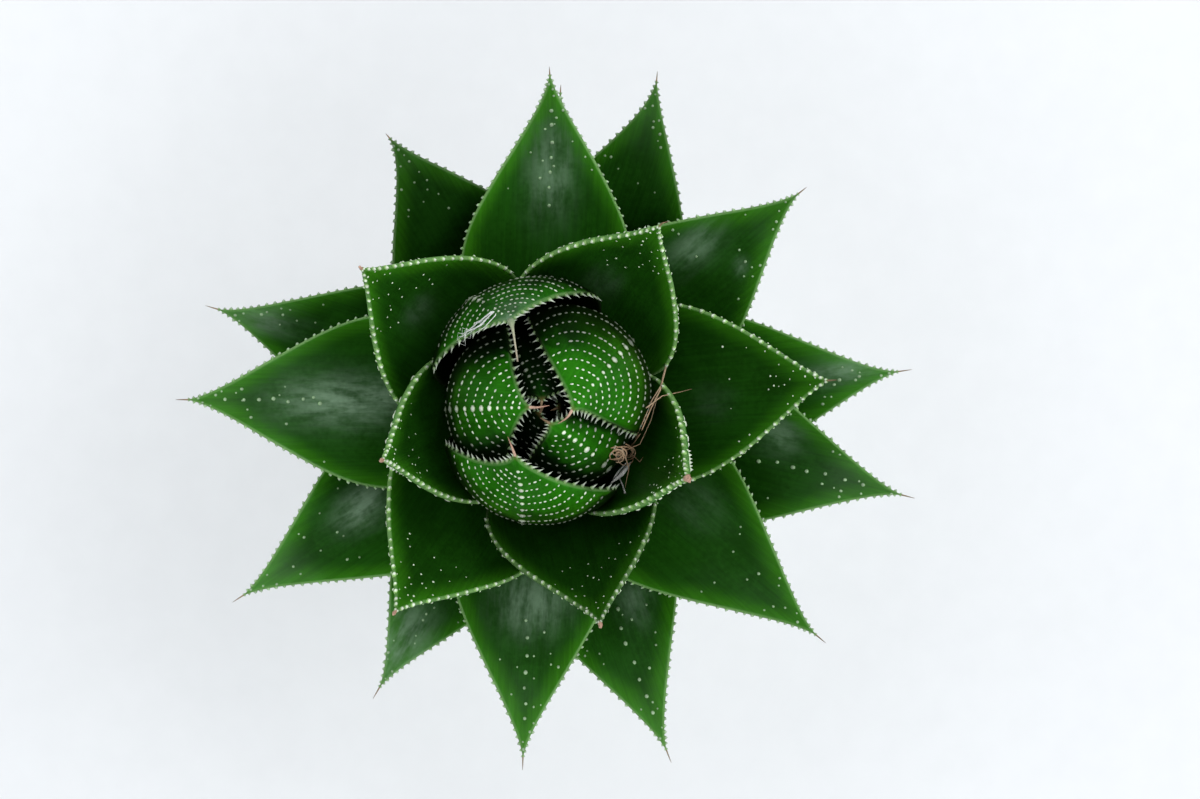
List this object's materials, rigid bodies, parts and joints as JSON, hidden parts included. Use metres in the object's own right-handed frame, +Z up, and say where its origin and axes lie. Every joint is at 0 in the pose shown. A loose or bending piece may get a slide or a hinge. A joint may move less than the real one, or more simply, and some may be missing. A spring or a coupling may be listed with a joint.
{
  "type": "potted lace aloe",
  "caption": "Rosette of thick pointed green leaves, edged with small soft teeth and set with white tubercles, growing on a short stem in soil in a plain round pot.",
  "frame": {"origin": "centre of the pot's flat base, on the surface that it stands on", "axes": "+Z up along the pot's axis; +X to the right and +Y to the top of the reference picture, which looks straight down"},
  "size_m": [0.1429, 0.1361, 0.14],
  "materials": {
    "pot_white": "satin",
    "soil_brown": "matte",
    "stem_green": "matte",
    "leaf_01_green": "satin",
    "leaf_02_green": "satin",
    "leaf_03_green": "satin",
    "leaf_04_green": "satin",
    "leaf_05_green": "satin",
    "leaf_06_green": "satin",
    "leaf_07_green": "satin",
    "leaf_08_green": "satin",
    "leaf_09_green": "satin",
    "leaf_10_green": "satin",
    "leaf_11_green": "satin",
    "leaf_12_green": "satin",
    "leaf_13_green": "satin",
    "leaf_14_green": "satin",
    "leaf_15_green": "satin",
    "leaf_16_green": "satin",
    "leaf_17_green": "satin",
    "leaf_18_green": "satin",
    "leaf_19_green": "satin",
    "leaf_20_green": "satin",
    "leaf_21_green": "satin",
    "leaf_22_green": "satin",
    "leaf_23_green": "satin",
    "leaf_24_green": "satin",
    "leaf_25_green": "satin",
    "leaf_26_green": "satin",
    "leaf_27_green": "satin",
    "leaf_28_green": "satin",
    "leaf_29_green": "satin"
  },
  "bodies": {
    "root": {"pot": "pot_white", "soil": "soil_brown", "stem": "stem_green", "leaf_01": "leaf_01_green", "leaf_02": "leaf_02_green", "leaf_03": "leaf_03_green", "leaf_04": "leaf_04_green", "leaf_05": "leaf_05_green", "leaf_06": "leaf_06_green", "leaf_07": "leaf_07_green", "leaf_08": "leaf_08_green", "leaf_09": "leaf_09_green", "leaf_10": "leaf_10_green", "leaf_11": "leaf_11_green", "leaf_12": "leaf_12_green", "leaf_13": "leaf_13_green", "leaf_14": "leaf_14_green", "leaf_15": "leaf_15_green", "leaf_16": "leaf_16_green", "leaf_17": "leaf_17_green", "leaf_18": "leaf_18_green", "leaf_19": "leaf_19_green", "leaf_20": "leaf_20_green", "leaf_21": "leaf_21_green", "leaf_22": "leaf_22_green", "leaf_23": "leaf_23_green", "leaf_24": "leaf_24_green", "leaf_25": "leaf_25_green", "leaf_26": "leaf_26_green", "leaf_27": "leaf_27_green", "leaf_28": "leaf_28_green", "leaf_29": "leaf_29_green"}
  },
  "joints": []
}
